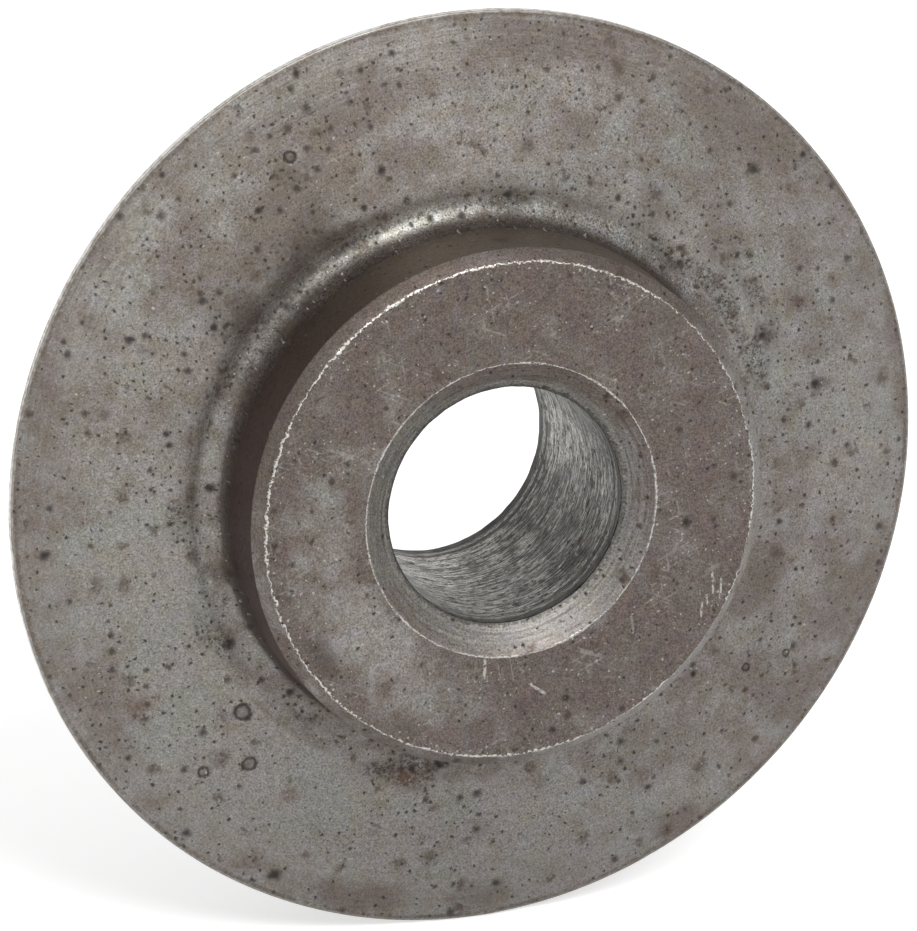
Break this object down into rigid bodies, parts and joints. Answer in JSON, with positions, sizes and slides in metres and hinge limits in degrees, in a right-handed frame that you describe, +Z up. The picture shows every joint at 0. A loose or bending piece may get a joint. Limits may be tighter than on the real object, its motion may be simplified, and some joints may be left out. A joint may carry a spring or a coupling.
{
  "type": "cutter roller wheel",
  "caption": "Steel roller wheel with a thin tapered blade, a plain hub on each side and a countersunk through bore for an axle pin.",
  "frame": {"origin": "wheel centre: on the bore axis, in the plane of the rim", "axes": "+Y along the bore axis, which the wheel spins about; +Z up, the wheel standing on its rim"},
  "size_m": [0.032, 0.0094, 0.032],
  "materials": {
    "hardened_steel": "turned and hardened tool steel, dull warm grey with brown and bluish stains, fine dark pits, bright worn edges"
  },
  "bodies": {
    "root": {"roller_wheel": "hardened_steel"}
  },
  "joints": []
}
